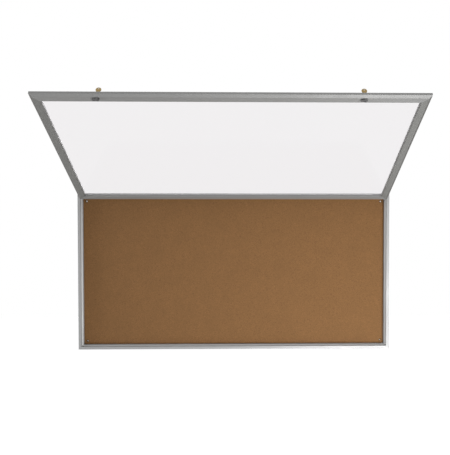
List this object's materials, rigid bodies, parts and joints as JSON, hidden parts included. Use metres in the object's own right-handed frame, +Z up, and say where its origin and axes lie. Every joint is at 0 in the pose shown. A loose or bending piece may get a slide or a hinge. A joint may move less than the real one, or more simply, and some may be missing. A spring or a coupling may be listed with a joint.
{
  "type": "lockable notice board",
  "caption": "Shallow wall case with a cork panel and a glazed cover that swings up on a hinge along its top edge and locks with cam locks along its lower edge.",
  "frame": {"origin": "centre of the case's flat back, on the wall plane", "axes": "+X along the board's length to the viewer's right, +Y into the wall, +Z up"},
  "size_m": [1.2, 0.5417, 0.8919],
  "materials": {
    "anodised_aluminium": "satin silver anodised extrusion",
    "hinge_aluminium": "satin silver anodised",
    "zinc_plated_steel": "bright zinc plated",
    "galvanised_steel": "galvanised sheet with a faint spangle",
    "stainless_steel": "drawn wire",
    "nickel_plate": "nickel plated",
    "bronzed_steel": "dark bronzed",
    "brass": "tumbled brass",
    "cork": "fine agglomerated cork, matt",
    "softboard": "compressed fibre, matt",
    "clear_glazing": "clear polycarbonate sheet",
    "grey_rubber": "matt grey glazing rubber",
    "dark_rubber": "matt black sealing strip"
  },
  "bodies": {
    "case": {"case_top_rail": "anodised_aluminium", "case_bottom_rail": "anodised_aluminium", "case_left_rail": "anodised_aluminium", "case_right_rail": "anodised_aluminium", "case_corner_cleats": "zinc_plated_steel", "back_sheet": "galvanised_steel", "board_core": "softboard", "cork_sheet": "cork", "fixing_eyelets": "bronzed_steel", "hinge_case_leaf": "hinge_aluminium", "hinge_case_screws": "zinc_plated_steel", "hinge_pin": "stainless_steel"},
    "cover": {"cover_top_rail": "anodised_aluminium", "cover_bottom_rail": "anodised_aluminium", "cover_left_rail": "anodised_aluminium", "cover_right_rail": "anodised_aluminium", "cover_corner_cleats": "zinc_plated_steel", "glazing": "clear_glazing", "glazing_gasket": "grey_rubber", "cover_seal": "dark_rubber", "hinge_cover_leaf": "hinge_aluminium", "hinge_cover_screws": "zinc_plated_steel", "left_lock_barrel": "nickel_plate", "left_lock_nut": "zinc_plated_steel", "right_lock_barrel": "nickel_plate", "right_lock_nut": "zinc_plated_steel"},
    "left_lock": {"left_lock_plug": "brass", "left_lock_cam": "zinc_plated_steel", "left_cam_screw": "zinc_plated_steel"},
    "right_lock": {"right_lock_plug": "brass", "right_lock_cam": "zinc_plated_steel", "right_cam_screw": "zinc_plated_steel"},
    "left_key_body": {"left_key": "brass"},
    "right_key_body": {"right_key": "brass"}
  },
  "joints": [
    {"name": "cover_hinge", "type": "hinge", "parent": "case", "child": "cover", "pos_m": [0, -0.03785, 0.28765], "axis": [-1, 0, 0], "range_deg": [-120, 55]},
    {"name": "left_lock_turn", "type": "hinge", "parent": "cover", "child": "left_lock", "pos_m": [-0.3925, -0.52535, 0.56697], "axis": [0, 0.5, 0.866], "range_deg": [0, 90]},
    {"name": "left_key_slide", "type": "slide", "parent": "left_lock", "child": "left_key_body", "axis": [0, 0.5, 0.866], "range_m": [0, 0.016]},
    {"name": "right_lock_turn", "type": "hinge", "parent": "cover", "child": "right_lock", "pos_m": [0.3925, -0.52535, 0.56697], "axis": [0, 0.5, 0.866], "range_deg": [0, 90]},
    {"name": "right_key_slide", "type": "slide", "parent": "right_lock", "child": "right_key_body", "axis": [0, 0.5, 0.866], "range_m": [0, 0.016]}
  ]
}
